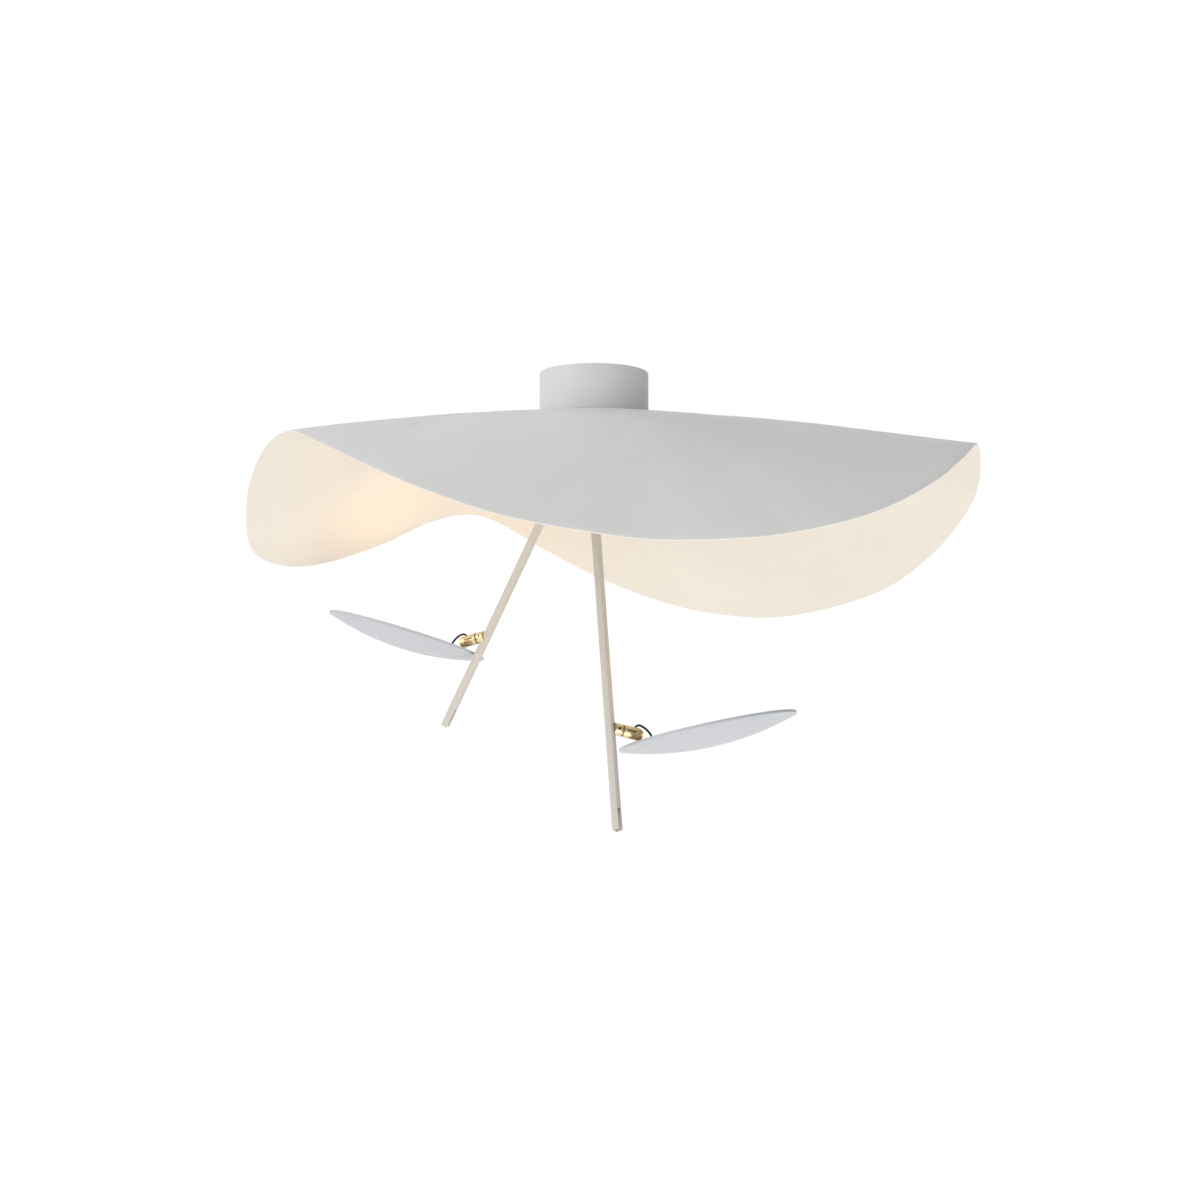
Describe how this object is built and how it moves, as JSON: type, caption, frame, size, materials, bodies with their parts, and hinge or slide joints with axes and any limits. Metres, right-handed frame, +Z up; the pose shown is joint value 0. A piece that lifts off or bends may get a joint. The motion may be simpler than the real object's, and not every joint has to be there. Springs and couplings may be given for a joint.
{
  "type": "sculptural ceiling light",
  "caption": "Ceiling light: a round canopy over a wavy moulded reflector, with slanting square rods that carry dished LED discs on brass tilting knuckles and shine up into the reflector.",
  "frame": {"origin": "centre of the ceiling plate's top face, on the canopy's axis, where the light meets the ceiling", "axes": "+Z up to the ceiling, +X along the reflector's length, -Y towards the side that faces the room in the picture"},
  "size_m": [1.01, 0.5751, 0.6032],
  "materials": {
    "painted_grey": "satin light grey lacquer on the moulded sheet",
    "canopy_grey": "satin light grey powder coat",
    "rod_white": "satin off-white powder coat",
    "brass": "brushed and lacquered",
    "steel": "zinc plated",
    "disc_silver": "fine satin silver-grey lacquer",
    "bare_aluminium": "as cast",
    "black": "matt",
    "black_rubber": "matt",
    "white_plastic": "fine grain",
    "opal": "frosted, lit from behind",
    "board_white": "solder mask",
    "chip_yellow": "phosphor"
  },
  "bodies": {
    "frame": {"ceiling_plate": "steel", "plate_grommet": "black_rubber", "terminal_block": "white_plastic", "led_driver": "white_plastic", "driver_screws": "steel", "centre_tube": "steel", "tube_nuts": "steel", "canopy_cup": "canopy_grey", "reflector": "painted_grey", "clamp_plate": "rod_white", "rod_holder": "rod_white", "holder_screws": "steel", "rod_right": "rod_white", "rod_plug_right": "black", "collar_right": "brass", "collar_screw_right": "black", "washer_right": "black", "rod_left": "rod_white", "rod_plug_left": "black", "collar_left": "brass", "collar_screw_left": "black", "washer_left": "black"},
    "knuckle_right": {"stud_right": "steel", "barrel_right": "brass", "pinch_screw_right": "steel", "exit_bush_right": "black"},
    "disc_right": {"pin_right": "brass", "foot_right": "brass", "foot_screws_right": "steel", "shell_right": "disc_silver", "cover_right": "disc_silver", "trim_right": "disc_silver", "heat_sink_right": "bare_aluminium", "led_board_right": "board_white", "led_chips_right": "chip_yellow", "lens_right": "opal", "cover_screws_right": "steel", "cable_bush_right": "black", "jumper_right": "black_rubber"},
    "knuckle_left": {"stud_left": "steel", "barrel_left": "brass", "pinch_screw_left": "steel", "exit_bush_left": "black"},
    "disc_left": {"pin_left": "brass", "foot_left": "brass", "foot_screws_left": "steel", "shell_left": "disc_silver", "cover_left": "disc_silver", "trim_left": "disc_silver", "heat_sink_left": "bare_aluminium", "led_board_left": "board_white", "led_chips_left": "chip_yellow", "lens_left": "opal", "cover_screws_left": "steel", "cable_bush_left": "black", "jumper_left": "black_rubber"}
  },
  "joints": [
    {"name": "right_swivel", "type": "hinge", "parent": "frame", "child": "knuckle_right", "pos_m": [0.02018, -0.21405, -0.47797], "axis": [0.8897, 0.4149, -0.1908], "range_deg": [-45, 45]},
    {"name": "right_tilt", "type": "hinge", "parent": "knuckle_right", "child": "disc_right", "pos_m": [0.05354, -0.19849, -0.48513], "axis": [-0.4442, 0.8831, -0.1513], "range_deg": [-25, 20], "deforming": ["jumper_right"]},
    {"name": "left_swivel", "type": "hinge", "parent": "frame", "child": "knuckle_left", "pos_m": [-0.14587, 0.10656, -0.3417], "axis": [-0.8652, 0.46, -0.1994], "range_deg": [-40, 10]},
    {"name": "left_tilt", "type": "hinge", "parent": "knuckle_left", "child": "disc_left", "pos_m": [-0.17832, 0.12381, -0.34918], "axis": [-0.4931, -0.8529, 0.1718], "range_deg": [-25, 20], "deforming": ["jumper_left"]}
  ]
}
